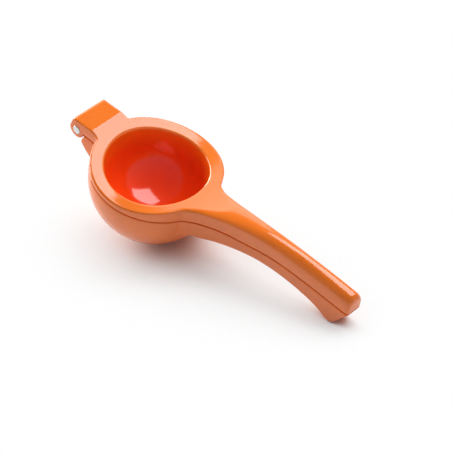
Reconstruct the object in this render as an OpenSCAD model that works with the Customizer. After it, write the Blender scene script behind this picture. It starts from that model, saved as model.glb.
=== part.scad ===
// Hinged lemon squeezer: a press arm with a hollow dome closes into a bowl arm
// on one cross pin. Both arms are drawn in the jaw frame, whose origin is the
// centre of the bowl's rim: +X runs to the handle tip, +Z out of the bowl.
// jaw_to_table() then lays the closed tool on its bowl and its handle heel.

/* [Rim and bowl] */
// Outer radius of the bowl and of the press flange
rim_r = 40; // [36:1:44]
// Thickness of the bowl wall
bowl_wall = 3.4; // [2.6:0.2:4]
// Straight height of the bowl wall below its rim, above the round bottom
bowl_straight = 4.2; // [3:0.2:8]
// Diameter of one juice hole in the bowl
juice_hole_d = 4; // [3:0.5:5]
// Distance between the rings of juice holes
juice_ring_pitch = 8; // [7:0.5:9]

/* [Press flange and dome] */
// Gap between the two arms when closed
parting_gap = 0.5; // [0.3:0.1:0.8]
// Gap between the dome and the bowl's wall, at the rim
dome_gap = 2.4; // [2:0.2:5]
// Thickness of the dome wall
dome_wall = 3; // [2.4:0.2:3.2]
// Height of the dome's round centre above the rim
dome_centre_z = 3.5; // [2:0.5:4]
// Height of the flange's top at its middle
flange_h = 4.2; // [4:0.2:6]
// Height that the flange's top gains from its middle to the neck
flange_rise = 7.2; // [6:0.2:8]
// Height that the flange's top gains from its middle to the hinge
flange_back_rise = 3.6; // [3:0.2:4.2]

/* [Hinge] */
// Distance from the bowl's centre to the hinge pin
hinge_reach = 54.7; // [53:0.1:58]
// Width of the hinge across both ears
hinge_w = 25.8; // [24:0.2:28]
// Thickness of one ear
ear_t = 5; // [4:0.5:6]
// Outer radius of the ears round the pin
ear_r = 5.5; // [5.4:0.1:6]
// Diameter of the hinge pin
pin_d = 5.6; // [5:0.1:6]
// Height of each pin end above the face of its ear
pin_proud = 0.5; // [0.3:0.1:0.8]
// Height of the domed end of the pin
pin_dome = 0.4; // [0.3:0.1:0.6]
// Radial running clearance between the pin and the knuckle
pin_clearance = 0.05; // [0.03:0.01:0.08]
// Outer radius of the knuckle on the bowl arm
knuckle_r = 4.8; // [4.4:0.1:4.8]
// Clearance between the knuckle and the press arm round it
knuckle_clearance = 0.4; // [0.3:0.05:0.5]
// Height of the hinge plate's top above the pin, at its outer end
plate_h = 7.5; // [7.2:0.1:8.4]
// Depth of the bowl arm's hinge bracket where it meets the bowl
bracket_depth = 16; // [14:0.5:18]

/* [Handles] */
// Distance from the bowl's centre to the tip of the handles
handle_reach = 156; // [145:1:165]
// Width of the handles
handle_w = 12; // [11:0.2:14]
// Width of the neck where the handles leave the rim
neck_w = 30.5; // [28:0.5:34]
// Length over which the neck narrows to the handle
neck_taper = 19.5; // [16:0.5:22]
// Height that the parting line gains from the rim to the tip
parting_rise = 17.4; // [16:0.1:19]
// Height by which the parting line bows above a straight line
parting_bow = 5; // [4:0.1:6]
// Height of the press handle above the parting line, at its highest
press_handle_h = 12.1; // [11:0.1:13.5]
// Thickness of the bowl arm's handle at the top of the arch below it
bowl_handle_t = 8; // [7:0.1:9]
// Depth of the heel below the parting line
heel_depth = 15.6; // [14:0.1:17]
// Distance of the heel from the handle tip
heel_back = 12.5; // [10:0.5:15]
// Length of the flat under the heel
heel_flat = 2.4; // [2:0.2:3]
// Wall left round the channels inside the handles
channel_wall = 2.8; // [2.4:0.1:3.2]

/* [Hidden] */
$fn = 96;
big = 3 * handle_reach;
curve_steps = 18;
long_arc_steps = 256;

// Keeps two surfaces from meeting at a grazing angle
bite = 0.1;

// Places along X
pin_x = -hinge_reach;
parting_start = 0.9 * rim_r;
neck_x = 0.94 * rim_r;
neck_end = neck_x + 4 * neck_taper;
tongue_end = neck_x + 1.1 * neck_taper;
parting_run = handle_reach - parting_start;
crown_x = handle_reach - 0.15 * parting_run;
arch_x = handle_reach - 0.375 * parting_run;
heel_x = handle_reach - heel_back;
crease_x = pin_x + 2 * ear_r + parting_gap;
mouth_r = rim_r - bowl_wall - dome_gap - dome_wall;

// Flange top: an arc through its heights at the hinge, the middle and the neck
flange_up = (2 * rim_r * rim_r + pow(flange_rise, 2) + pow(flange_back_rise, 2))
    / (2 * (flange_rise + flange_back_rise));
flange_mid_x = (rim_r * rim_r - 2 * flange_up * flange_rise + pow(flange_rise, 2)) / (2 * rim_r);
flange_r = norm([flange_up, flange_mid_x]);
function flange_top(x) = flange_h + flange_up - sqrt(pow(flange_r, 2) - pow(x - flange_mid_x, 2));

// Parting line between the handles: an arc from the rim up to the tip
parting_chord = norm([parting_run, parting_rise]);
parting_r = (pow(parting_chord / 2, 2) + pow(parting_bow, 2)) / (2 * parting_bow);
parting_drop = (parting_r - parting_bow) / parting_chord;
parting_mid = [
    parting_start + parting_run / 2 + parting_rise * parting_drop,
    parting_rise / 2 - parting_run * parting_drop];
function parting(x) = parting_mid[1] + sqrt(pow(parting_r, 2) - pow(x - parting_mid[0], 2));

// Back of the press handle, an arc in the side view
crown_r = 290;
crown_mid_z = parting(crown_x) + press_handle_h - crown_r;
function crown(x) = crown_mid_z + sqrt(pow(crown_r, 2) - pow(x - crown_x, 2));

// Top edge of the press handle's flat sides, where its round back starts. The
// back is flatter on the wide neck than on the handle.
back_h = 0.54 * handle_w;
neck_loss = 0.34 * handle_w;
neck_fade = 1.6 * neck_w;
function side_top(x) = crown(x) - back_h + neck_loss * exp(-(x - rim_r) / neck_fade);

// Half width of the neck, which narrows into the handle
function neck_half(x) = handle_w / 2 + (neck_w - handle_w) / 2 * exp(-(x - neck_x) / neck_taper);

// Arch under the bowl arm's handle
arch_r = 135;
arch_mid_z = parting(arch_x) - bowl_handle_t - arch_r;
function arch(x) = arch_mid_z + sqrt(pow(arch_r, 2) - pow(x - arch_x, 2));

// Tilt of the jaw frame at which bowl and heel both touch the table
heel_z = parting(heel_x) - heel_depth;
heel_drop = -bowl_straight - heel_z;
pitch = asin(rim_r / norm([heel_x, heel_drop])) - atan2(heel_drop, heel_x);
lift = rim_r + bowl_straight * cos(pitch);

// The origin lies under the middle of the closed tool's length
tip_round = 2.4;
crown_round = 5;
nose = [handle_reach - crown_round, crown(handle_reach - crown_round) - crown_round + bite];
back_end = pin_x * cos(pitch) - ear_r;
front_end = nose[0] * cos(pitch) + nose[1] * sin(pitch) + crown_round;
mid_x = (back_end + front_end) / 2;

// Even steps from a to b, both included
function steps(a, b) = [for (i = [0:curve_steps]) a + (b - a) * i / curve_steps];

module jaw_to_table() {
    translate([-mid_x, 0, lift]) rotate([0, pitch, 0]) children();
}

// Turns an outline in X and Z into a slab centred on Y = 0
module slab(width) {
    rotate([90, 0, 0]) linear_extrude(width, center = true) children();
}

module pin_hole(radius, length) {
    translate([pin_x, 0, 0]) rotate([90, 0, 0]) cylinder(r = radius, h = length, center = true);
}

// Disc below the parting line, raised by the gap for the press arm
module below_parting(gap) {
    translate(parting_mid) circle(parting_r + gap, $fn = long_arc_steps);
}

// Outline of the handles seen along Z, from the rim to the rounded tip
module handle_plan(start) {
    corner = handle_w / 2 - tip_round;
    sides = [for (x = steps(neck_x, neck_end)) [x, neck_half(x)]];
    tip = [for (turn = [90:-15:0]) [
        handle_reach + tip_round * (cos(turn) - 1), corner + tip_round * sin(turn)]];
    half = concat([[start, neck_half(neck_x)]], sides, tip);
    other = [for (i = [len(half) - 1:-1:0]) [half[i][0], -half[i][1]]];
    polygon(concat(half, other));
}

// Side outline of the press arm without its dome and its round back
module press_side() {
    lip_x = pin_x - ear_r / 2;
    ear_side = pin_x - ear_r + bite;
    difference() {
        union() {
            difference() {
                polygon([[ear_side, 0], [lip_x, plate_h], [crease_x, flange_top(crease_x)],
                    [crease_x, rim_r], [tongue_end, rim_r],
                    [tongue_end, parting_gap], [pin_x, parting_gap], [pin_x, 0]]);
                translate([flange_mid_x, flange_h + flange_up]) circle(flange_r, $fn = long_arc_steps);
            }
            translate([pin_x, 0]) circle(ear_r);
        }
        below_parting(parting_gap);
    }
}

// The ring and hinge tab that press_side() is cut to, seen along Z
module ring_plan() {
    circle(rim_r);
    translate([pin_x - 2 * ear_r, -hinge_w / 2]) square([hinge_reach + 2 * ear_r, hinge_w]);
}

// Flat top of the neck, which ends in a round tongue on the handle's back
module tongue_plan() {
    reach = tongue_end - neck_x;
    half = [for (x = steps(neck_x, tongue_end - bite)) [
        x, 0.78 * neck_half(x) * sqrt(1 - pow((x - neck_x) / reach, 4))]];
    other = [for (i = [len(half) - 1:-1:0]) [half[i][0], -half[i][1]]];
    polygon(concat([[0, half[0][1]]], half, other, [[0, -half[0][1]]]));
}

// Side outline of the neck's shoulders and of the handle's flat sides
module shoulder_side() {
    start = rim_r - 2;
    top = [for (x = steps(start, neck_end)) [x, min(side_top(x), flange_top(x) - bite)]];
    difference() {
        polygon(concat([[start, parting_gap]], top, [[neck_end, parting_gap]]));
        below_parting(parting_gap);
    }
}

// Press handle: a bar with a half-round back, bent along an arc
module press_bar() {
    half = handle_w / 2 + bite;
    intersection() {
        translate([crown_x, 0, crown_mid_z]) rotate([90, 0, 0]) rotate_extrude($fn = long_arc_steps) {
            translate([crown_r - half, 0]) circle(half);
            translate([crown_r - 6 * half, -half - 1]) square([5 * half, 2 * half + 2]);
        }
        slab(3 * half) difference() {
            union() {
                polygon([[neck_x, parting_gap], [neck_x, flange_top(neck_x) - 2], [tongue_end, big],
                    [nose[0], big], nose, [handle_reach - bite, nose[1]], [handle_reach - bite, parting_gap]]);
                translate(nose) circle(crown_round);
            }
            below_parting(parting_gap);
        }
    }
}

// Channel inside the press handle, open at the parting line
module press_channel() {
    start = 1.35 * rim_r;
    end = handle_reach - channel_wall - 1;
    slab(handle_w - 2 * channel_wall) intersection() {
        translate([crown_x, crown_mid_z]) circle(crown_r - channel_wall, $fn = long_arc_steps);
        polygon([[start, 0], [start, big], [end, big], [end, 0]]);
        translate([0, parting_gap - 1]) square([big, big]);
    }
}

// Outside of the dome that pushes the fruit
module dome_outside() {
    root = parting_gap + 1;
    rotate_extrude() intersection() {
        translate([0, dome_centre_z]) circle(mouth_r + dome_wall);
        translate([0, -big]) square([big, big + root]);
    }
}

// Hollow of the dome, open at the flange's top
module dome_hollow() {
    translate([0, 0, dome_centre_z]) {
        sphere(mouth_r);
        cylinder(r = mouth_r, h = big);
    }
}

module press_arm() {
    slot_w = hinge_w - 2 * ear_t;
    slot_r = knuckle_r + knuckle_clearance;
    color("darkorange") jaw_to_table() difference() {
        union() {
            intersection() {
                slab(3 * rim_r) press_side();
                translate([0, 0, -2 * ear_r]) linear_extrude(big) ring_plan();
            }
            intersection() {
                slab(3 * rim_r) press_side();
                linear_extrude(big) tongue_plan();
            }
            intersection() {
                union() {
                    slab(3 * rim_r) shoulder_side();
                    press_bar();
                }
                linear_extrude(big) handle_plan(rim_r - 4);
            }
            dome_outside();
        }
        dome_hollow();
        press_channel();
        translate([pin_x - big, -slot_w / 2, -big]) {
            cube([big, slot_w, big + slot_r - bite]);
            cube([big + ear_r + knuckle_clearance, slot_w, big + parting_gap + bite]);
        }
        pin_hole(slot_r, slot_w);
        pin_hole(pin_d / 2, 2 * hinge_w);
    }
}

// Cup with a round bottom and a short straight wall, up to the height given
module cup(radius, top) {
    translate([0, 0, -bowl_straight]) {
        difference() {
            sphere(radius);
            translate([-big, -big, 0]) cube(2 * big);
        }
        cylinder(r = radius, h = bowl_straight + top);
    }
}

module juice_holes() {
    for (ring = [1, 2], i = [1:6 * ring])
        rotate([0, 0, 360 * i / (6 * ring)]) translate([ring * juice_ring_pitch, 0, -2 * rim_r])
            cylinder(d = juice_hole_d, h = 1.5 * rim_r);
    translate([0, 0, -2 * rim_r]) cylinder(d = juice_hole_d, h = 1.5 * rim_r);
}

// Side outline of the bowl arm's handle with its arch and heel
module bowl_handle_side() {
    start = parting_start - 8;
    arch_end = heel_x - 2.3 * heel_flat;
    toe_x = arch_end - 2.5 * heel_flat;
    sole = [heel_x - 1.3 * heel_flat, heel_z + 0.4 * heel_flat];
    heel_end = [heel_x + heel_flat * cos(pitch), heel_z + heel_flat * sin(pitch)];
    tip_z = parting(handle_reach) - tip_round;
    intersection() {
        union() {
            difference() {
                polygon([[start, -rim_r], [arch_end, -rim_r], [arch_end, big], [start, big]]);
                translate([arch_x, arch_mid_z]) circle(arch_r, $fn = long_arc_steps);
            }
            polygon([[toe_x, big], [toe_x, arch(toe_x) + bowl_handle_t / 3], sole, [heel_x, heel_z],
                heel_end, [handle_reach, tip_z], [handle_reach, big]]);
        }
        below_parting(0);
    }
}

module bowl_handle() {
    intersection() {
        slab(3 * rim_r) bowl_handle_side();
        translate([0, 0, -2 * rim_r]) linear_extrude(big) handle_plan(parting_start - 4);
    }
}

// Channel inside the bowl arm's handle, open at the parting line
module bowl_channel() {
    start = 1.6 * rim_r;
    end = heel_x + 3;
    slab(handle_w - 2 * channel_wall) difference() {
        polygon([[start, big], [start, -rim_r], [heel_x - 6, heel_z + 2 * channel_wall],
            [heel_x, heel_z + 2 * channel_wall], [end, heel_z + 3 * channel_wall], [end, big]]);
        translate([arch_x, arch_mid_z]) circle(arch_r + channel_wall, $fn = long_arc_steps);
    }
}

// Bracket behind the bowl, the same width as the hinge, with its knuckle
module hinge_bracket() {
    ear_sweep = ear_r + 0.8;
    knuckle_w = hinge_w - 2 * ear_t - 2 * knuckle_clearance;
    end_x = pin_x + ear_r - 0.6;
    end_z = -knuckle_r - 2.6;
    difference() {
        slab(hinge_w) polygon([[end_x, 0], [end_x, end_z], [-rim_r, -bracket_depth],
            [-0.8 * rim_r, -bracket_depth], [-0.8 * rim_r, 0]]);
        pin_hole(ear_sweep, 2 * hinge_w);
    }
    difference() {
        union() {
            pin_hole(knuckle_r, knuckle_w);
            slab(knuckle_w) polygon([[pin_x + 1, 0], [pin_x + 1, bite - knuckle_r], [end_x + 1, end_z],
                [-rim_r, -bracket_depth + 1], [-rim_r, 0]]);
        }
        pin_hole(pin_d / 2 + pin_clearance, 2 * hinge_w);
    }
}

module bowl_arm() {
    color("darkorange") jaw_to_table() difference() {
        union() {
            cup(rim_r, 0);
            bowl_handle();
            hinge_bracket();
        }
        cup(rim_r - bowl_wall, 1);
        bowl_channel();
        juice_holes();
    }
}

// Steel pin with slightly domed ends
module hinge_pin() {
    shank = hinge_w + 2 * pin_proud - 2 * pin_dome;
    dome_r = (pow(pin_d / 2, 2) + pow(pin_dome, 2)) / (2 * pin_dome);
    color("silver") jaw_to_table() translate([pin_x, 0, 0]) rotate([90, 0, 0]) {
        cylinder(d = pin_d, h = shank, center = true);
        for (side = [0, 1]) mirror([0, 0, side]) intersection() {
            translate([0, 0, shank / 2 + pin_dome - dome_r]) sphere(dome_r);
            translate([0, 0, shank / 2 - 1]) cylinder(d = pin_d, h = pin_dome + 2);
        }
    }
}

bowl_arm();
press_arm();
hinge_pin();
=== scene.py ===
"""Hinged lemon squeezer lying closed on a pale table: two enamelled castings and a steel pin."""

import math

import bmesh
import bpy
from mathutils import Matrix, Vector, noise


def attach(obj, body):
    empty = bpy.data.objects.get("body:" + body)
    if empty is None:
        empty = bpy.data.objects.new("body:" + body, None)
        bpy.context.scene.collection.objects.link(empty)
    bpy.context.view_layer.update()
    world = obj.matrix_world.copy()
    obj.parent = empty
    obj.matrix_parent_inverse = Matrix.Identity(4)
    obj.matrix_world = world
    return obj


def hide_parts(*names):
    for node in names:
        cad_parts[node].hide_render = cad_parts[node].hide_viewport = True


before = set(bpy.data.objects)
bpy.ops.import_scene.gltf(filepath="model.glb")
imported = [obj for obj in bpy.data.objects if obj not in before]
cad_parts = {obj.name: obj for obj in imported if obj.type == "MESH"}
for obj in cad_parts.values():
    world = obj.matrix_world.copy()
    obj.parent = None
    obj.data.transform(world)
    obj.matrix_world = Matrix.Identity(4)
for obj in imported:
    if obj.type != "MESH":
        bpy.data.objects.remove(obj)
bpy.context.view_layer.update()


# ------------------------------------------------------------ press casting
# The upper arm is one aluminium casting: a ring with a hollow dome hanging in
# it, a neck that narrows into a handle with a round back, and a hinge plate
# with two ears. It is coated in orange enamel, which rounds every edge.

# Both arms are drawn in the jaw frame in millimetres: the origin is the centre
# of the bowl's rim, +X runs to the handle tips and +Z out of the bowl.
RIM_R = 39.97
PARTING_GAP = 0.65
HANDLE_REACH = 154.8
TIP_CORNER = 1.6
TURN_STEPS = 288
FLANGE_ARC_X, FLANGE_ARC_Z, FLANGE_ARC_R = -6.559, 155.348, 151.29
NECK_FILLET, NECK_FILLET_X, NECK_FILLET_FADE = 1.38, 35.48, 0.9


def flange_top(x):
    """Height of the ring's top, which rises toward the neck and the hinge."""
    return FLANGE_ARC_Z - math.sqrt(FLANGE_ARC_R ** 2 - (x - FLANGE_ARC_X) ** 2)


def between(x, table):
    """Smooth curve through a short table of (x, value) pairs."""
    if x <= table[0][0]:
        return table[0][1]
    if x >= table[-1][0]:
        return table[-1][1]
    i = max(k for k, (key, _) in enumerate(table) if key <= x)

    def slope(k):
        low, high = max(k - 1, 0), min(k + 1, len(table) - 1)
        return (table[high][1] - table[low][1]) / (table[high][0] - table[low][0])

    (x0, y0), (x1, y1) = table[i], table[i + 1]
    t = (x - x0) / (x1 - x0)
    m0, m1 = slope(i) * (x1 - x0), slope(i + 1) * (x1 - x0)
    return ((2 * t ** 3 - 3 * t ** 2 + 1) * y0 + (t ** 3 - 2 * t ** 2 + t) * m0
            + (3 * t ** 2 - 2 * t ** 3) * y1 + (t ** 3 - t ** 2) * m1)


# Along both arms: (x, height) of the parting line and (x, half width) from above
PARTING = [(33, 0), (36, 0.08), (38.5, 0.45), (41.3, 1.1), (43.8, 1.8), (47.9, 3.15),
           (52.5, 4.65), (57.8, 6.15), (63.2, 7.45), (68.8, 8.6), (77.3, 10.1), (87.4, 12.45),
           (100, 14.8), (109.2, 15.75), (119.1, 16.5), (131, 17.05), (144.4, 17.35), (156, 17.7)]
HALF_WIDTH = [(35, 17.2), (37.5, 15.5), (40, 14.05), (44, 12.2), (50, 10.87), (56, 9.72),
              (63, 8.64), (70, 7.8), (78, 7.11), (87, 6.5), (97, 6.17), (110, 6.03), (125, 6.0)]


def parting(x):
    """Height of the line where the arms meet: flat at the rim, then a shallow arc up."""
    return between(x, PARTING)


def softer_of(a, b, soft):
    """The lower of two heights, with the corner between them rounded."""
    return 0.5 * (a + b - math.sqrt((a - b) ** 2 + soft * soft))


def arm_half_width(x):
    """Half width of neck and handle from above, with the fillet at the ring and the rounded tip."""
    half = between(x, HALF_WIDTH)
    half += NECK_FILLET * math.exp(-(x - NECK_FILLET_X) / NECK_FILLET_FADE)
    past = x - (HANDLE_REACH - TIP_CORNER)
    if past > 0:
        half -= TIP_CORNER - math.sqrt(max(TIP_CORNER ** 2 - past ** 2, 0.0))
    return half


def quarter(count, start, end, mid, radius):
    """Points of a round from one angle to another, both ends included."""
    turns = [math.radians(start + (end - start) * i / count) for i in range(count + 1)]
    return [(mid[0] + radius * math.cos(turn), mid[1] + radius * math.sin(turn)) for turn in turns]


def spun_shell(profile):
    """Turns a chain of (radius, height) points once round Z and numbers the vertices by row."""
    bm = bmesh.new()
    verts = [bm.verts.new((radius, 0.0, height)) for radius, height in profile]
    edges = [bm.edges.new(pair) for pair in zip(verts, verts[1:])]
    bmesh.ops.spin(bm, geom=verts + edges, cent=(0, 0, 0), axis=(0, 0, 1), dvec=(0, 0, 0),
                   angle=math.tau, steps=TURN_STEPS, use_merge=True, use_duplicate=False)
    bmesh.ops.remove_doubles(bm, verts=bm.verts, dist=1e-3)
    rows = bm.verts.layers.int.new("row")
    for v in bm.verts:
        out = math.hypot(v.co.x, v.co.y)
        v[rows] = min(range(len(profile)),
                      key=lambda row: abs(profile[row][0] - out) + abs(profile[row][1] - v.co.z))
    return bm


def open_sector(bm, first, last, middle, half):
    """Opens a sector between two rows; returns its edge loop, starting along the upper row."""
    rows = bm.verts.layers.int["row"]
    doomed = []
    for f in bm.faces:
        span = [v[rows] for v in f.verts]
        centre = f.calc_center_median()
        off = abs((math.degrees(math.atan2(centre.y, centre.x)) - middle + 180) % 360 - 180)
        if min(span) >= first and max(span) <= last and off < half:
            doomed.append(f)
    bmesh.ops.delete(bm, geom=doomed, context="FACES")
    edges = {e for e in bm.edges if e.is_boundary}
    side = 1 if middle == 0 else -1
    here = max((v for e in edges for v in e.verts if v[rows] == first), key=lambda v: side * v.co.y)
    loop = [here]
    while True:
        nexts = [e.other_vert(here) for e in here.link_edges if e in edges]
        nexts = [v for v in nexts if v not in loop]
        if not nexts:
            return loop
        here = min(nexts, key=lambda v: v[rows]) if len(loop) == 1 else nexts[0]
        loop.append(here)


def grow(bm, loop, stations):
    """Extrudes an edge loop through its stations, each a list of places in the loop's order."""
    count = len(loop)
    for places in stations:
        edges = [bm.edges.get((loop[k], loop[(k + 1) % count])) for k in range(count)]
        made = bmesh.ops.extrude_edge_only(bm, edges=edges)
        fresh = {v for v in made["geom"] if isinstance(v, bmesh.types.BMVert)}
        loop = [next(e.other_vert(v) for e in v.link_edges if e.other_vert(v) in fresh)
                for v in loop]
        for v, place in zip(loop, places):
            v.co = place
    return loop


def faced_outward(bm):
    """Turns every face of a closed mesh outward."""
    bmesh.ops.recalc_face_normals(bm, faces=bm.faces)
    if bm.calc_volume(signed=True) < 0:
        bmesh.ops.reverse_faces(bm, faces=bm.faces)
    return bm


def channel_half(edge, inner, depth, share, count):
    """(half width, depth) pairs from the edge of an arm's parting face in to its middle."""
    lip = min(0.25, 0.25 * depth)
    cut = [(edge, 0), ((edge + inner) / 2, 0), (inner + 0.25, 0), (inner + 0.05, lip),
           (inner, 0.3 * depth), (inner - 0.15, 0.6 * depth), (inner - 0.4, 0.9 * depth),
           (inner - 1.1, depth)]
    cut += [((inner - 1.1) * (1 - j / (count - 7)), depth) for j in range(1, count - 6)]
    plain = [(edge * (1 - m / count), 0) for m in range(count + 1)]
    return [(p[0] + (c[0] - p[0]) * share, c[1] * share) for p, c in zip(plain, cut)]


def ramp(x, start, end):
    """Smooth step from 0 at start to 1 at end."""
    t = min(max((x - start) / (end - start), 0.0), 1.0)
    return t * t * (3 - 2 * t)


def combined(bm, other, operation):
    """Joins another closed mesh to this one or cuts it away, and returns the result."""
    pair = []
    for part in (bm, other):
        mesh = bpy.data.meshes.new("working")
        faced_outward(part).to_mesh(mesh)
        part.free()
        pair.append(bpy.data.objects.new("working", mesh))
        bpy.context.collection.objects.link(pair[-1])
    change = pair[0].modifiers.new("change", "BOOLEAN")
    change.operation = operation
    change.solver = "EXACT"
    change.object = pair[1]
    done = pair[0].evaluated_get(bpy.context.evaluated_depsgraph_get())
    result = bmesh.new()
    result.from_mesh(done.to_mesh())
    done.to_mesh_clear()
    for working in pair:
        mesh = working.data
        bpy.data.objects.remove(working)
        bpy.data.meshes.remove(mesh)
    return result


def slab_along_y(outline, half):
    """Solid of an outline in X and Z, extruded to both sides of Y = 0."""
    bm = bmesh.new()
    face = bm.faces.new([bm.verts.new((x, -half, z)) for x, z in outline])
    made = bmesh.ops.extrude_face_region(bm, geom=[face])
    moved = [v for v in made["geom"] if isinstance(v, bmesh.types.BMVert)]
    bmesh.ops.translate(bm, verts=moved, vec=(0, 2 * half, 0))
    return bm


def cast_waves(bm, depth, spacing):
    """Sinks the surface by slow uneven waves, as enamel over a sand-cast skin has."""
    bm.normal_update()
    for v in bm.verts:
        wave = noise.noise(v.co / spacing) + 0.5 * noise.noise(v.co / (0.45 * spacing))
        v.co += v.normal * depth * (wave - 1.0)


# How the closed tool lies: the jaw frame's pitch, and where on the table its origin is
PITCH = math.radians(18.5832)
RIM_CENTRE = (-49.2521, 0, 43.9810)
JAW_TO_TABLE = (Matrix.Scale(0.001, 4) @ Matrix.Translation(RIM_CENTRE)
                @ Matrix.Rotation(PITCH, 4, "Y"))
SHARP_FROM = math.radians(38)


def finished(bm, name, material):
    """Puts a jaw-frame mesh where it lies on the table and makes it a shaded object."""
    bmesh.ops.remove_doubles(bm, verts=bm.verts, dist=5e-4)
    faced_outward(bm)
    bm.transform(JAW_TO_TABLE)
    bm.normal_update()
    for f in bm.faces:
        f.smooth = True
    for e in bm.edges:
        e.smooth = len(e.link_faces) != 2 or e.calc_face_angle() < SHARP_FROM
    mesh = bpy.data.meshes.new(name)
    bm.to_mesh(mesh)
    bm.free()
    piece = bpy.data.objects.new(name, mesh)
    bpy.context.collection.objects.link(piece)
    mesh.materials.append(material)
    return piece


def linear(hex_colour):
    """sRGB hex to the linear colour that the shaders take."""
    parts = [int(hex_colour[i:i + 2], 16) / 255 for i in (1, 3, 5)]
    levels = [c / 12.92 if c <= 0.04045 else ((c + 0.055) / 1.055) ** 2.4 for c in parts]
    return (*levels, 1.0)


def node(tree, kind, settings=None, **sockets):
    """Adds a shader node and sets or links its sockets, given by name or as i and a number."""
    made = tree.nodes.new(kind)
    for key, value in (settings or {}).items():
        setattr(made, key, value)
    for key, value in sockets.items():
        name = key.replace("_", " ")
        index = int(name[1:]) if name[:1] == "i" and name[1:].isdigit() else name
        if isinstance(value, bpy.types.NodeSocket):
            tree.links.new(value, made.inputs[index])
        else:
            made.inputs[index].default_value = value
    return made


def fresh_material(name):
    """An empty node material and its node tree."""
    material = bpy.data.materials.new(name)
    material.use_nodes = True
    material.node_tree.nodes.clear()
    return material, material.node_tree


# The mouth's radius, the dome's wall, the height of its centre, and the ring's top
MOUTH_R, DOME_WALL, DOME_Z, RING_TOP = 31.2, 3.0, 3.5, 4.2

# Orange enamel, sprayed and baked on cast aluminium: a deep glossy coat with
# soft edges to its reflections, from slow waves in the casting and fine orange
# peel in the coat. Down inside the dome its colour is painted a deeper red:
# painted shade, standing in for the shade and the light bounced between the
# dome's walls. The painted shade fades in metres past the mouth's radius and
# above the dome's centre.
PAINTED_SHADE_FROM_WALL, PAINTED_SHADE_TO_WALL = 0.0001, 0.0007
PAINTED_SHADE_FULL_HEIGHT, PAINTED_SHADE_END_HEIGHT = -0.012, 0.001
enamel, tree = fresh_material("orange_enamel_baked_on_cast_aluminium")
place = node(tree, "ShaderNodeTexCoord").outputs["Object"]
drift = node(tree, "ShaderNodeTexNoise", Vector=place, Scale=55.0, Detail=2.0).outputs["Fac"]
tone = node(tree, "ShaderNodeMix", {"data_type": "RGBA"}, Factor=drift,
            i6=linear("#FA781C"), i7=linear("#FD8022")).outputs[2]
dome_centre = JAW_TO_TABLE @ Vector((0, 0, DOME_Z))
from_dome = node(tree, "ShaderNodeMapping", Vector=place, Location=-dome_centre).outputs["Vector"]
away = node(tree, "ShaderNodeVectorMath", {"operation": "LENGTH"}, i0=from_dome).outputs["Value"]
# Masks for the painted shade: inside the dome's inner wall, and below its centre
painted_shade_inside_dome = node(tree, "ShaderNodeMapRange", Value=away,
                  From_Min=MOUTH_R / 1000 + PAINTED_SHADE_FROM_WALL, From_Max=MOUTH_R / 1000 + PAINTED_SHADE_TO_WALL,
                  To_Min=1.0, To_Max=0.0).outputs["Result"]
rise = node(tree, "ShaderNodeVectorMath", {"operation": "DOT_PRODUCT"}, i0=from_dome,
            i1=(math.sin(PITCH), 0.0, math.cos(PITCH))).outputs["Value"]
painted_shade_below_centre = node(tree, "ShaderNodeMapRange", Value=rise, From_Min=PAINTED_SHADE_FULL_HEIGHT,
              From_Max=PAINTED_SHADE_END_HEIGHT, To_Min=1.0, To_Max=0.0).outputs["Result"]
painted_dome_shade = node(tree, "ShaderNodeMath", {"operation": "MULTIPLY"},
             i0=painted_shade_inside_dome, i1=painted_shade_below_centre).outputs["Value"]
# Painted shade: the colour is mixed toward a deeper red down inside the dome
tone = node(tree, "ShaderNodeMix", {"data_type": "RGBA"}, Factor=painted_dome_shade, i6=tone,
            i7=linear("#FC4A10")).outputs[2]
peel = node(tree, "ShaderNodeTexNoise", Vector=place, Scale=420.0, Detail=1.0).outputs["Fac"]
waves = node(tree, "ShaderNodeTexNoise", Vector=place, Scale=95.0, Detail=1.0).outputs["Fac"]
wavy = node(tree, "ShaderNodeBump", Height=waves, Strength=0.07,
            Distance=0.0006).outputs["Normal"]
peeled = node(tree, "ShaderNodeBump", Height=peel, Strength=0.04, Distance=0.0002,
              Normal=wavy).outputs["Normal"]
gloss = node(tree, "ShaderNodeMapRange", Value=drift, To_Min=0.09, To_Max=0.14).outputs["Result"]
coat = node(tree, "ShaderNodeBsdfPrincipled", Base_Color=tone, Roughness=gloss, IOR=1.62,
            Normal=peeled)
node(tree, "ShaderNodeOutputMaterial", Surface=coat.outputs["BSDF"])

# Ring and dome, spun in one chain: from the dome's inner pole over the mouth
# and the ring's edge to the dome's outer pole.
MOUTH_ROUND, RING_ROUND, FOOT_ROUND = 1.6, 1.2, 0.5
press_profile = quarter(22, -90, -8, (0.0, DOME_Z), MOUTH_R)
press_profile[0] = (0.0, DOME_Z - MOUTH_R)
press_profile += [(math.sqrt(MOUTH_R ** 2 - (z - DOME_Z) ** 2), z) for z in (0.2, 1.0, 1.8)]
press_lift = [0.0] * 23 + [0.25, 0.5, 0.75]
press_profile += quarter(6, 180, 90, (MOUTH_R + MOUTH_ROUND, RING_TOP - MOUTH_ROUND), MOUTH_ROUND)
press_profile += [(radius, RING_TOP) for radius in (34.0, 35.2, 36.4, 37.6)]
ring_first = len(press_profile)
press_profile += quarter(4, 90, 0, (RIM_R - RING_ROUND, RING_TOP - RING_ROUND), RING_ROUND)
press_lift += [1.0] * (len(press_profile) - len(press_lift))
press_profile += [(RIM_R, 2.4), (RIM_R, 1.7)]
press_lift += [0.75, 0.4]
press_profile += quarter(3, 0, -90, (RIM_R - FOOT_ROUND, PARTING_GAP + FOOT_ROUND), FOOT_ROUND)
ring_last = len(press_profile) - 1
press_profile += [(radius, PARTING_GAP) for radius in (38.4, 37.2, 36.0, 34.9)]
press_profile += quarter(22, -5.3, -90, (0.0, DOME_Z), MOUTH_R + DOME_WALL)
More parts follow.
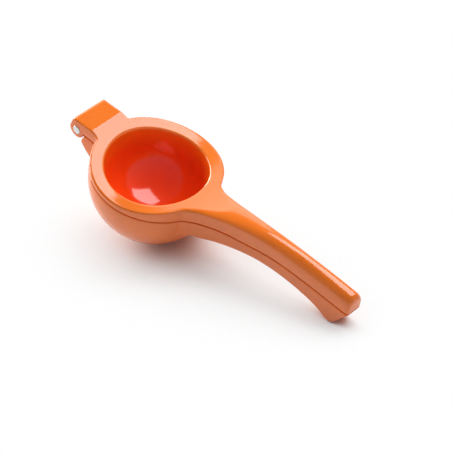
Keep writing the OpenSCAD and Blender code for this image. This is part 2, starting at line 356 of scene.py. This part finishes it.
press_profile[-1] = (0.0, DOME_Z - MOUTH_R - DOME_WALL)
press_lift += [0.0] * (len(press_profile) - len(press_lift))

press = spun_shell(press_profile)
press_rows = press.verts.layers.int["row"]
for v in press.verts:
    v.co.z += press_lift[v[press_rows]] * (flange_top(v.co.x) - RING_TOP)

# Neck and handle, extruded from an opening in the ring's edge. The round back
# starts at SIDE_TOP and is cut flat by the ring's top on the neck.
NECK_HALF_TURN, NECK_SEGMENTS = 27.5, 44
BACK_FROM = math.radians(25)
SHOULDER_STEPS, LEAST_FLAT = 8, 0.45
FLAT_END, FLAT_EDGE = 75, 0.12
BACK_SQUARER, SQUARER_ALONG = 0.45, (112, 148)
NOSE_X, NOSE_Z, NOSE_R, NOSE_FOOT = 150.9, 25.35, 3.9, 19.6
SIDE_TOP = [(36, 8.7), (38.9, 9.6), (41.8, 10.4), (44, 11.03), (50, 12.57), (56, 14.19),
            (63, 16.08), (70, 17.76), (78, 19.15), (87, 20.4), (97, 21.4), (110, 21.8),
            (125, 21.5), (140, 20.8), (151, 20.6)]
CROWN = [(36, 11.4), (38.9, 12.15), (41.8, 12.9), (44, 13.69), (50, 15.75), (56, 17.87),
         (63, 20.02), (70, 21.82), (78, 23.62), (87, 25.52), (97, 26.9), (110, 28.3),
         (125, 29.1), (140, 29.35), (151, 29.25)]
# The channel under the handle: its half width, least depth, the wall left over
# it, and the stretches along which it opens and closes
CHANNEL_HALF, CHANNEL_LEAST, PRESS_ROOF = 3.2, 0.5, 3.4
PRESS_OPENS, PRESS_CLOSES = (48, 55), (149.5, 152.5)


def press_station(x_mid, x_side):
    """One loop round the press arm's neck or handle, bowed toward the ring at its sides."""
    half = arm_half_width(x_side)

    def at(y, height):
        x = x_mid - (x_mid - x_side) * (y / half) ** 2
        return Vector((x, y, height(x)))

    def back(turn):
        def height(x):
            low, high = between(x, SIDE_TOP), between(x, CROWN)
            if x > NOSE_X:
                drop = 1 - math.sqrt(max(1 - ((x - NOSE_X) / NOSE_R) ** 2, 0.0))
                low, high = low - (low - NOSE_FOOT) * drop, NOSE_Z + NOSE_R * (1 - drop)
            power = 2 + BACK_SQUARER * ramp(x, *SQUARER_ALONG)
            z = low + (high - low) * (1 - abs(math.cos(turn)) ** power) ** (1 / power)
            return softer_of(z, flange_top(x), FLAT_EDGE) if x < FLAT_END else z
        return height

    def foot(x):
        return parting(x) + PARTING_GAP

    low, high = between(x_mid, SIDE_TOP), between(x_mid, CROWN)
    cut = 1.0
    if x_mid < FLAT_END:
        cut = min(max((flange_top(x_mid) - low) / (high - low), 0.0), 1.0)
    edge_turn = math.acos(max(math.sqrt(1 - cut * cut), LEAST_FLAT))
    turns = [BACK_FROM + (edge_turn - BACK_FROM) * i / SHOULDER_STEPS
             for i in range(SHOULDER_STEPS)]
    flats = NECK_SEGMENTS - 2 * SHOULDER_STEPS
    turns += [math.acos(math.cos(edge_turn) * (1 - 2 * i / flats)) for i in range(flats + 1)]
    turns += [math.pi - turn for turn in turns[SHOULDER_STEPS - 1::-1]]
    top = [at(half * math.cos(turn), back(turn)) for turn in turns]
    side_turns = [BACK_FROM * (1 - j / 4) for j in range(1, 5)]
    side = [at(half * math.cos(turn), back(turn)) for turn in side_turns]
    side += [at(half, lambda x, s=share: back(0)(x) * (1 - s) + (foot(x) + FOOT_ROUND) * s)
             for share in (0.33, 0.67)]
    for y, rise in quarter(3, 0, -90, (half - FOOT_ROUND, FOOT_ROUND), FOOT_ROUND)[:3]:
        side.append(at(y, lambda x, r=rise: foot(x) + r))
    share = ramp(x_mid, *PRESS_OPENS) * (1 - ramp(x_mid, *PRESS_CLOSES))
    depth = max(between(x_mid, CROWN) - PRESS_ROOF - foot(x_mid), CHANNEL_LEAST)
    channel = channel_half(half - FOOT_ROUND, CHANNEL_HALF, depth, share, NECK_SEGMENTS // 2)
    under = [at(y, lambda x, d=deep: foot(x) + d) for y, deep in channel]
    flip = Matrix.Diagonal((1, -1, 1))
    return (top + [flip @ p for p in side] + [flip @ p for p in under] + under[-2::-1] + side[::-1])


neck_loop = open_sector(press, ring_first, ring_last, 0, NECK_HALF_TURN)
press_stations = [(40.3, 36.3), (41.3, 37.2), (42.5, 38.5), (44, 40.3), (46, 43.5),
                  (48, 46.8), (50, 49.6)]
press_stations += [(x, x) for x in (51, 52, 53, 54, 55, 56, 56.8, 57.6, 58.2, 58.8, 59.6,
                                    60.6, 61.8)]
press_stations += [(x, x) for x in range(63, 150, 2)]
TIP_STATIONS = (149.7, 150.5, 151.3, 152.1, 152.9, 153.5, 154.0, 154.4, 154.65, 154.77)
press_stations += [(x, x) for x in TIP_STATIONS]
tip_loop = grow(press, neck_loop, [press_station(*pair) for pair in press_stations])
press.faces.new(tip_loop)

# Hinge plate with its two ears, extruded from an opening on the other side.
PIN_X, EAR_R, EAR_HALF = -54.7, 5.48, 12.88
EAR_FRONT = -49.225
HINGE_FILLET, HINGE_FILLET_X, HINGE_FILLET_FADE = 0.8, -37.59, 1.2
TAB_HALF_TURN, TAB_SEGMENTS = 20.0, 32
TAB_EDGE_ROUND = 1.0
CREASE_X = -43.3
PLATE = [(-60.25, 0.1), (-60.1, 0.9), (-59.75, 2.5), (-59.35, 4.4), (-59.1, 5.7), (-58.9, 6.25),
         (-58.5, 6.8), (-57.9, 7.15), (-57.1, 7.3), (-55.0, 7.5), (CREASE_X, 8.55)]


def hinge_half_width(x):
    """Half width of the plate and of the other arm's bracket, with the fillet at the ring."""
    return EAR_HALF + HINGE_FILLET * math.exp((x - HINGE_FILLET_X) / HINGE_FILLET_FADE)


def tab_top(x):
    """Height of the hinge plate: the ring's slope to the crease, then its own to the outer lip."""
    if x > CREASE_X:
        return flange_top(x)
    i = max(k for k, (key, _) in enumerate(PLATE) if key <= x)
    (x0, z0), (x1, z1) = PLATE[i], PLATE[i + 1]
    return z0 + (z1 - z0) * (x - x0) / (x1 - x0)


def tab_station(x_mid, x_side):
    """One loop round the hinge plate, whose underside becomes the round of the ears."""
    half = hinge_half_width(x_side)
    off = x_mid - PIN_X
    foot = PARTING_GAP
    if abs(off) < EAR_R - 1e-6 and x_mid < EAR_FRONT:
        foot = -math.sqrt(EAR_R ** 2 - off ** 2)
    height = tab_top(x_mid) - foot
    edge, toe = min(TAB_EDGE_ROUND, 0.3 * height), min(FOOT_ROUND, 0.2 * height)

    def at(y, from_top=None, from_foot=None):
        x = x_mid - (x_mid - x_side) * (y / half) ** 2
        return Vector((x, y, tab_top(x) - from_top if from_foot is None else foot + from_foot))

    across = [1 - 2 * i / TAB_SEGMENTS for i in range(TAB_SEGMENTS + 1)]
    top = [at(-(half - edge) * step, from_top=0.0) for step in across]
    side = [at(y, from_top=edge - z) for y, z in quarter(4, 90, 0, (half - edge, 0.0), edge)[1:]]
    for share in (0.33, 0.67):
        level = (tab_top(x_side) - edge) * (1 - share) + (foot + toe) * share
        side.append(Vector((x_side, half, level)))
    side += [at(y, from_foot=z) for y, z in quarter(3, 0, -90, (half - toe, toe), toe)[:3]]
    under = [at((half - toe) * step, from_foot=0.0) for step in across]
    flip = Matrix.Diagonal((1, -1, 1))
    return top + side + under + [flip @ p for p in side[::-1]]


tab_loop = open_sector(press, ring_first, ring_last, 180, TAB_HALF_TURN)
tab_stations = [(-40.2, -38.5), (-41.0, -39.5), (-41.8, -40.7), (-42.6, -42.1), (-43.2, -43.1)]
tab_stations += [(x, x) for x in (-43.5, -44, -45.5, -47, -48.2, -49, EAR_FRONT)]
ear_turns = [6, 13, 22, 32, 43, 55, 67, 79, 90, 101, 113, 125, 137, 148, 158, 167, 174]
ear_places = [PIN_X + EAR_R * math.cos(math.radians(turn)) for turn in ear_turns]
tab_stations += [(x, x) for x in ear_places]
plate_loop = grow(press, tab_loop, [tab_station(*pair) for pair in tab_stations])
press.faces.new(plate_loop)
faced_outward(press)
WAVE_DEPTH, WAVE_SPACING = 0.015, 14.0
cast_waves(press, WAVE_DEPTH, WAVE_SPACING)

# Slot between the ears for the other arm's knuckle, and the pin's bore.
SLOT_HALF, SLOT_R = 7.9, 5.15
SLOT_REACH, SLOT_STEP, SLOT_STEP_Z = 9, 5.9, 0.6
PIN_R = 2.8
BORE_LIP, BORE_FLARE = 0.35, 0.3
BAR_STEPS = 64


def turned_on_pin(profile):
    """Turns a chain of (radius, place along Y) points once round the pin's axis."""
    bm = bmesh.new()
    verts = [bm.verts.new((out, along, 0.0)) for out, along in profile]
    edges = [bm.edges.new(pair) for pair in zip(verts, verts[1:])]
    bmesh.ops.spin(bm, geom=verts + edges, cent=(0, 0, 0), axis=(0, 1, 0), dvec=(0, 0, 0),
                   angle=math.tau, steps=BAR_STEPS, use_merge=True, use_duplicate=False)
    bmesh.ops.remove_doubles(bm, verts=bm.verts, dist=1e-4)
    bmesh.ops.translate(bm, verts=bm.verts, vec=(PIN_X, 0, 0))
    return bm


def bar_on_pin(radius, half, lip=0.0, flare=0.0):
    """Round bar on the pin's axis; a lip at both ends flares it."""
    wall = [(radius, -half), (radius, half)]
    if flare:
        wall = [(radius + flare, -half), (radius, lip - half),
                (radius, half - lip), (radius + flare, half)]
    return turned_on_pin([(0, -half)] + wall + [(0, half)])


slot_outline = [(PIN_X - SLOT_REACH, -SLOT_REACH), (PIN_X + SLOT_STEP, -SLOT_REACH),
                (PIN_X + SLOT_STEP, SLOT_STEP_Z), (PIN_X + SLOT_R, SLOT_STEP_Z)]
slot_outline += quarter(10, 8, 90, (PIN_X, 0.0), SLOT_R)
slot_outline += [(PIN_X - SLOT_REACH, SLOT_R)]
press = combined(press, slab_along_y(slot_outline, SLOT_HALF), "DIFFERENCE")
bore = bar_on_pin(PIN_R, EAR_HALF + 0.02, lip=BORE_LIP, flare=BORE_FLARE)
press = combined(press, bore, "DIFFERENCE")

press_piece = finished(press, "press_casting", enamel)
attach(press_piece, "press_side")
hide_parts("press_arm")


# ------------------------------------------------------------- bowl casting
# The lower arm is the second casting, in the same enamel: a round bowl with
# juice holes, a handle with an arch and a heel below it, and a bracket with
# the hinge knuckle, which turns between the ears.

BOWL_WALL, BOWL_STRAIGHT, BOWL_ROUND = 3.4, 4.2, 0.8
BOWL_IN = RIM_R - BOWL_WALL
bowl_profile = quarter(22, -90, 0, (0.0, -BOWL_STRAIGHT), BOWL_IN)
bowl_profile[0] = (0.0, -BOWL_STRAIGHT - BOWL_IN)
bowl_profile += [(BOWL_IN, -2.4)]
bowl_profile += quarter(3, 180, 90, (BOWL_IN + 0.5, -0.5), 0.5)
bowl_profile += [(38.1, 0.0)]
bowl_first = len(bowl_profile)
bowl_profile += quarter(3, 90, 0, (RIM_R - BOWL_ROUND, -BOWL_ROUND), BOWL_ROUND)
bowl_profile += [(RIM_R, -2.4)]
bowl_profile += quarter(4, 0, -14.4, (0.0, -BOWL_STRAIGHT), RIM_R)
bowl_profile += quarter(2, -14.4, -18, (0.0, -BOWL_STRAIGHT), RIM_R)[1:]
bowl_last = len(bowl_profile) - 1
bowl_profile += quarter(19, -21, -90, (0.0, -BOWL_STRAIGHT), RIM_R)
bowl_profile[-1] = (0.0, -BOWL_STRAIGHT - RIM_R)
bowl = spun_shell(bowl_profile)

# Handle, with an arch below it that ends in the heel it rests on.
HANDLE_HALF_TURN, HANDLE_SEGMENTS = 25.0, 40
HANDLE_TOE = 1.5
UNDERSIDE = [(42, -11.7), (44, -10.8), (47.5, -9.1), (51.2, -7.4), (55.5, -5.5), (59.5, -3.95),
             (64.7, -2.1), (70.2, -0.3), (78.6, 2.25), (88.8, 4.6), (101.7, 6.35), (111.5, 6.85),
             (121, 6.6), (128, 6.0), (131.5, 5.4), (135.5, 4.45), (138.2, 3.35), (140.6, 2.35),
             (143.4, 1.9), (144.6, 2.24), (145.7, 2.66), (147.0, 4.3), (148.7, 7.2),
             (150.4, 10.2), (153.3, 15.2), (154.4, 16.6), (154.8, 17.1)]
FILLET_UNDER = [(38.45, -15.2), (39.2, -14.0), (40.4, -12.85), (42.0, -11.7)]
BOWL_OPENS, BOWL_CLOSES, BOWL_FLOOR = (61, 66), (144.5, 147.5), 2.9


def bowl_station(x_mid, x_side, under_at=None):
    """One loop round the bowl arm's handle; under_at places its underside near the bowl."""
    half = arm_half_width(x_side)
    low_x, low_z = under_at or (x_mid, between(x_mid, UNDERSIDE))
    height = parting(x_mid) - low_z
    edge, toe = min(BOWL_ROUND, 0.2 * height), min(HANDLE_TOE, 0.3 * height)

    def at(y, share, below=0.0, above=None):
        x = x_mid - (x_mid - x_side) * (y / half) ** 2
        low = x + (low_x - x_mid)
        run = x + (low - x) * share ** 2
        return Vector((run, y, parting(x) - below if above is None else low_z + above))

    depth = max(parting(x_mid) - between(x_mid, UNDERSIDE) - BOWL_FLOOR, CHANNEL_LEAST)
    share = ramp(x_mid, *BOWL_OPENS) * (1 - ramp(x_mid, *BOWL_CLOSES))
    cut = channel_half(half - edge, CHANNEL_HALF, depth, share, HANDLE_SEGMENTS // 2)
    top = [at(y, 0, below=d) for y, d in cut]
    side = [at(y, 0, below=edge - z) for y, z in quarter(3, 90, 0, (half - edge, 0.0), edge)[1:]]
    for k in range(1, 4):
        s = k / 4
        level = (parting(x_side) - edge) * (1 - s) + (low_z + toe) * s
        side.append(at(half, s * 0.8))
        side[-1].z = level
    turns = quarter(4, 0, -90, (half - toe, toe), toe)
    side += [at(y, 0.85 + 0.15 * j / 4, above=z) for j, (y, z) in enumerate(turns[:-1])]
    under = [at((half - toe) * (1 - i / (HANDLE_SEGMENTS // 2)), 1, above=0.0)
             for i in range(HANDLE_SEGMENTS // 2 + 1)]
    flip = Matrix.Diagonal((1, -1, 1))
    return (top + [flip @ p for p in top[-2::-1]] + [flip @ p for p in side]
            + [flip @ p for p in under] + under[-2::-1] + side[::-1])


handle_loop = open_sector(bowl, bowl_first, bowl_last, 0, HANDLE_HALF_TURN)
bowl_stations = [bowl_station(x, s, u) for (x, s), u in
                 zip([(40.5, 37.0), (41.6, 38.2), (42.8, 39.7), (44.2, 41.5)], FILLET_UNDER)]
bowl_stations += [bowl_station(x, s) for x, s in ((46, 44.3), (48, 47.2), (50, 49.7))]
bowl_stations += [bowl_station(x, x) for x in (52, 54, 56, 58, 60, 61.5, 63, 64.5, 66, 68)]
bowl_stations += [bowl_station(x, x) for x in range(70, 134, 2)]
heel_stations = (135.5, 137, 138.2, 139.4, 140.6, 142, 143.4, 144.6, 145.7, 146.4, 147.2, 148.2)
bowl_stations += [bowl_station(x, x) for x in heel_stations]
bowl_stations += [bowl_station(x, x) for x in TIP_STATIONS]
tip_loop = grow(bowl, handle_loop, bowl_stations)
bowl.faces.new(tip_loop)

# Bracket for the knuckle, as wide as the hinge. Its underside is level at first
# and then slopes up to its end.
BRACKET_END, BRACKET_END_Z, BRACKET_LEVEL_Z, BRACKET_SLOPE = -49.8, -7.4, -16.2, 0.878
BRACKET_TOP, BRACKET_LEAN = -0.02, 1.2


def bracket_station(x_mid, x_side):
    """One loop round the bracket behind the bowl."""
    half = hinge_half_width(x_side)
    low_z = max(BRACKET_LEVEL_Z, BRACKET_END_Z - (x_mid - BRACKET_END) * BRACKET_SLOPE)
    edge, toe = 0.6, 1.0

    def at(y, z, share):
        x = x_mid - (x_mid - x_side) * (y / half) ** 2
        return Vector((x + BRACKET_LEAN * share ** 2 * ramp(x_mid, -44, -40.2), y, z))

    across = [1 - 2 * i / TAB_SEGMENTS for i in range(TAB_SEGMENTS + 1)]
    top = [at(-(half - edge) * step, BRACKET_TOP, 0) for step in across]
    side = [at(y, z - edge + BRACKET_TOP, 0)
            for y, z in quarter(3, 90, 0, (half - edge, 0.0), edge)[1:]]
    side += [at(half, -edge * (1 - s) + (low_z + toe) * s, 0.8 * s) for s in (0.25, 0.5, 0.75)]
    side += [at(y, low_z + z, 0.85 + 0.15 * j / 4)
             for j, (y, z) in enumerate(quarter(4, 0, -90, (half - toe, toe), toe)[:-1])]
    under = [at((half - toe) * step, low_z, 1) for step in across]
    flip = Matrix.Diagonal((1, -1, 1))
    return top + side + under + [flip @ p for p in side[::-1]]


bracket_loop = open_sector(bowl, bowl_first, bowl_last, 180, TAB_HALF_TURN)
bracket_stations = [(-40.5, -38.7), (-41.5, -40.0), (-42.8, -42.0), (-44.5, -44.2)]
bracket_stations += [(x, x) for x in (-46, -47.5, -49, BRACKET_END)]
bracket_loop = grow(bowl, bracket_loop, [bracket_station(*pair) for pair in bracket_stations])
bowl.faces.new(bracket_loop)
faced_outward(bowl)
cast_waves(bowl, WAVE_DEPTH, WAVE_SPACING)

# Room for the ears to turn, then the knuckle and its bore
EAR_CLEARANCE, PAST_HINGE, TURNING_GAP = 0.8, 15, 0.05
bowl = combined(bowl, bar_on_pin(EAR_R + EAR_CLEARANCE, PAST_HINGE), "DIFFERENCE")
KNUCKLE_R, KNUCKLE_HALF = 4.75, 7.5
ROOT_X, ROOT_LOW, ROOT_HIGH = -42, -13.0, -0.1
knuckle_outline = quarter(40, 0, 270, (PIN_X, 0.0), KNUCKLE_R)
knuckle_outline += [(BRACKET_END + 1, -7.2), (ROOT_X, ROOT_LOW), (ROOT_X, ROOT_HIGH),
                    (PIN_X + KNUCKLE_R + 0.6, ROOT_HIGH)]
bowl = combined(bowl, slab_along_y(knuckle_outline, KNUCKLE_HALF), "UNION")
bowl = combined(bowl, bar_on_pin(PIN_R + TURNING_GAP, PAST_HINGE), "DIFFERENCE")

# Juice holes in two rings round a middle one, drilled straight down.
HOLE_R, RING_PITCH = 2.0, 8.0
DRILL_LENGTH, DRILL_MIDDLE_Z = 30, -40
drills = bmesh.new()
for ring in (0, 1, 2):
    for k in range(max(1, 6 * ring)):
        turn = math.tau * k / max(1, 6 * ring)
        spot = Matrix.Translation((ring * RING_PITCH * math.cos(turn),
                                   ring * RING_PITCH * math.sin(turn), DRILL_MIDDLE_Z))
        bmesh.ops.create_cone(drills, cap_ends=True, segments=40, radius1=HOLE_R,
                              radius2=HOLE_R, depth=DRILL_LENGTH, matrix=spot)
bowl = combined(bowl, drills, "DIFFERENCE")

bowl_piece = finished(bowl, "bowl_casting", enamel)
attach(bowl_piece, "bowl_side")
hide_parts("bowl_arm")


# ---------------------------------------------------------------- hinge pin
# A plain turned steel pin, pressed through the two ears. Its nearly flat ends
# stand a little proud of them and have a broken edge.

PIN_HALF, PIN_DOME, PIN_EDGE = 13.4, 0.15, 0.35
dome_r = (PIN_R ** 2 + PIN_DOME ** 2) / (2 * PIN_DOME)
dome_mid = PIN_HALF - dome_r
dome_turn = math.degrees(math.asin(PIN_R / dome_r))
end_arc = [(out, along) for along, out in quarter(6, 0, dome_turn, (dome_mid, 0.0), dome_r)]
end_arc[0] = (0.0, PIN_HALF)
edge_mid = (PIN_R - PIN_EDGE, end_arc[-1][1] - PIN_EDGE)
half_chain = end_arc[:-1] + quarter(4, 80, 0, edge_mid, PIN_EDGE)
pin = turned_on_pin(half_chain + [(out, -along) for out, along in half_chain[::-1]])

# Turned steel: rings from the lathe tool, which are too fine to show and so are
# drawn about 2 mm apart, catch the light in arcs across the nearly flat end.
steel, tree = fresh_material("turned_steel_pin")
place = node(tree, "ShaderNodeTexCoord").outputs["Object"]
pin_centre = JAW_TO_TABLE @ Vector((PIN_X, 0, 0))
centred = node(tree, "ShaderNodeMapping", Vector=place, Location=-pin_centre).outputs["Vector"]
rings = node(tree, "ShaderNodeTexWave", {"wave_type": "RINGS", "rings_direction": "Y"},
             Vector=centred, Scale=160.0, Distortion=0.6).outputs["Fac"]
turned = node(tree, "ShaderNodeBump", Height=rings, Strength=0.15,
              Distance=0.00005).outputs["Normal"]
smudge = node(tree, "ShaderNodeTexNoise", Vector=place, Scale=900.0, Detail=2.0).outputs["Fac"]
sheen = node(tree, "ShaderNodeMapRange", Value=smudge, To_Min=0.22, To_Max=0.34).outputs["Result"]
steel_tone = node(tree, "ShaderNodeMix", {"data_type": "RGBA"}, Factor=smudge,
                  i6=linear("#D6D4D0"), i7=linear("#E6E4E1")).outputs[2]
metal = node(tree, "ShaderNodeBsdfPrincipled", Base_Color=steel_tone, Metallic=1.0,
             Roughness=sheen, Normal=turned)
node(tree, "ShaderNodeOutputMaterial", Surface=metal.outputs["BSDF"])

pin_piece = finished(pin, "steel_hinge_pin", steel)
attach(pin_piece, "press_side")
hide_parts("hinge_pin")


# ---------------------------------------------------- table, light and camera
# A plain white table top, a square softbox above and behind the tool, a panel
# beyond its hinge and a smaller, dimmer one to its far side, and a pale room, darker
# overhead. Seen directly and in reflections, the table glows plain white where the
# sky over it is open. Near the tool, ambient occlusion takes that glow away, so the
# table there shows its matt shading: a real shadow from the lamps, inside a painted
# shadow shaped by nearness to the tool.

TABLE_HALF = 4.0
PAINTED_SHADOW_REACH, PAINTED_SHADOW_DEEPEST, PAINTED_SHADOW_ENDS = 0.12, 0.33, 0.9
floor_mesh = bmesh.new()
bmesh.ops.create_grid(floor_mesh, x_segments=1, y_segments=1, size=TABLE_HALF)
mesh = bpy.data.meshes.new("table_top")
floor_mesh.to_mesh(mesh)
floor_mesh.free()
floor = bpy.data.objects.new("table_top", mesh)
bpy.context.collection.objects.link(floor)
paper, tree = fresh_material("matt_white_table")
path = node(tree, "ShaderNodeLightPath")
matt = node(tree, "ShaderNodeBsdfDiffuse", Color=linear("#E6E6E6")).outputs["BSDF"]
# Painted shadow: ambient occlusion takes the white glow away near the tool
occlusion_for_painted_shadow = node(tree, "ShaderNodeAmbientOcclusion", Distance=PAINTED_SHADOW_REACH).outputs["AO"]
clear = node(tree, "ShaderNodeMapRange", Value=occlusion_for_painted_shadow, From_Min=PAINTED_SHADOW_DEEPEST, From_Max=PAINTED_SHADOW_ENDS,
             To_Min=0.0, To_Max=1.0).outputs["Result"]
white = node(tree, "ShaderNodeEmission", Color=linear("#FFFFFF"),
             Strength=1.0).outputs["Emission"]
looked_at = node(tree, "ShaderNodeMath", {"operation": "MAXIMUM"},
                 i0=path.outputs["Is Camera Ray"],
                 i1=path.outputs["Is Glossy Ray"]).outputs["Value"]
share = node(tree, "ShaderNodeMath", {"operation": "MULTIPLY"},
             i0=looked_at, i1=clear).outputs["Value"]
mixed = node(tree, "ShaderNodeMixShader", i0=share, i1=matt, i2=white).outputs["Shader"]
node(tree, "ShaderNodeOutputMaterial", Surface=mixed)
mesh.materials.append(paper)

WALL_STRENGTH, CEILING_STRENGTH = 0.46, 0.14
world = bpy.data.worlds.new("pale_room")
world.use_nodes = True
tree = world.node_tree
tree.nodes.clear()
path = node(tree, "ShaderNodeLightPath")
toward_sky = node(tree, "ShaderNodeTexCoord").outputs["Generated"]
height = node(tree, "ShaderNodeSeparateXYZ", Vector=toward_sky).outputs["Z"]
wall_to_ceiling = node(tree, "ShaderNodeMapRange", Value=height, From_Min=0.0, From_Max=0.9,
                       To_Min=WALL_STRENGTH, To_Max=CEILING_STRENGTH).outputs["Result"]
room = node(tree, "ShaderNodeBackground", Color=linear("#FFFFFF"),
            Strength=wall_to_ceiling).outputs["Background"]
white = node(tree, "ShaderNodeBackground", Color=linear("#FFFFFF"),
             Strength=1.0).outputs["Background"]
shown = node(tree, "ShaderNodeMixShader", i0=path.outputs["Is Camera Ray"],
             i1=room, i2=white).outputs["Shader"]
node(tree, "ShaderNodeOutputWorld", Surface=shown)
bpy.context.scene.world = world

# The place that the lamps face, then for each lamp its name, direction from
# there, distance, width and height in metres, and watts
LIT_PLACE = Vector((-0.03, 0, 0.04))
LAMPS = [("square_softbox", (0.104, 0.541, 0.835), 0.9, 0.67, 0.67, 6.8),
         ("tall_side_panel", (-0.938, 0.07, 0.34), 1.3, 1.2, 0.7, 21.0),
         ("back_panel", (-0.66, 0.6, 0.46), 1.2, 0.95, 0.75, 2.8)]
for name, toward, away, wide, high, watts in LAMPS:
    lamp = bpy.data.lights.new(name, "AREA")
    lamp.shape = "RECTANGLE"
    lamp.size, lamp.size_y, lamp.energy = wide, high, watts
    panel = bpy.data.objects.new(name, lamp)
    toward = Vector(toward).normalized()
    panel.location = LIT_PLACE + toward * away
    panel.rotation_euler = toward.to_track_quat("Z", "Y").to_euler()
    bpy.context.collection.objects.link(panel)

CAMERA_PLACE = (0.77003059, -0.70070809, 0.78230312)
CAMERA_TURN = (53.78000791, 5.54293383, 43.41915989)
FOCAL_LENGTH, SENSOR_WIDTH = 175.22, 36.0
lens = bpy.data.cameras.new("camera")
lens.lens, lens.sensor_width = FOCAL_LENGTH, SENSOR_WIDTH
camera = bpy.data.objects.new("camera", lens)
camera.location = CAMERA_PLACE
camera.rotation_euler = [math.radians(turn) for turn in CAMERA_TURN]
bpy.context.collection.objects.link(camera)
bpy.context.scene.camera = camera
bpy.context.scene.view_settings.view_transform = "Standard"
